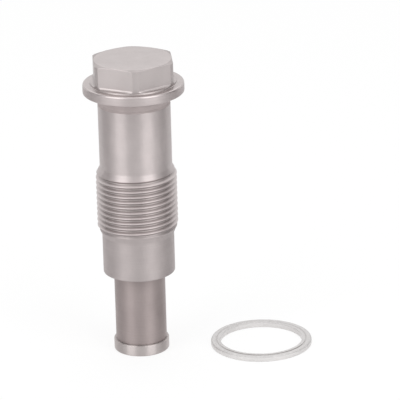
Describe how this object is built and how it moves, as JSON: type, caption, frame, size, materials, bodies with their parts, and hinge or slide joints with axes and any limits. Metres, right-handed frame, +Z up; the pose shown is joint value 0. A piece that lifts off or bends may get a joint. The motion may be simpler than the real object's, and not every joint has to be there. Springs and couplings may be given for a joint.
{
  "type": "timing chain tensioner",
  "caption": "Screw-in hydraulic timing chain tensioner: hex-headed threaded housing, sprung hollow plunger with a ball check valve, and a flat sealing ring beside it.",
  "frame": {"origin": "centre of the plunger's foot face, on the level that the part stands on", "axes": "+Z up along the tensioner's axis, from the foot to the hexagon head; a corner of the hexagon faces -Y; the sealing ring lies towards +X"},
  "size_m": [0.0604, 0.0295, 0.0833],
  "materials": {
    "turned_steel": "satin turned steel, slightly warm",
    "worn_steel": "duller brown-grey ground steel",
    "bright_steel": "bright fine-turned steel",
    "spring_steel": "dark oiled spring wire",
    "hardened_steel": "polished hard steel",
    "reducer_nylon": "moulded dark nylon",
    "seal_aluminium": "pale stamped aluminium"
  },
  "bodies": {
    "housing": {"housing": "turned_steel", "stop_ring": "spring_steel", "plunger_spring": "spring_steel", "valve_seat": "hardened_steel", "ball_cage": "bright_steel", "check_spring": "spring_steel", "seal_ring": "seal_aluminium"},
    "plunger": {"plunger": "worn_steel", "foot_ring": "bright_steel", "volume_reducer": "reducer_nylon"},
    "check_ball": {"check_ball": "hardened_steel"}
  },
  "joints": [
    {"name": "plunger_slide", "type": "slide", "parent": "housing", "child": "plunger", "axis": [0, 0, -1], "range_m": [-0.0192, 0], "stiffness_N_per_m": 600, "springref_m": 0.008, "deforming": ["plunger_spring"]},
    {"name": "check_ball_lift", "type": "slide", "parent": "housing", "child": "check_ball", "axis": [0, 0, -1], "range_m": [0, 0.0006], "stiffness_N_per_m": 50, "springref_m": -0.002, "deforming": ["check_spring"]}
  ]
}
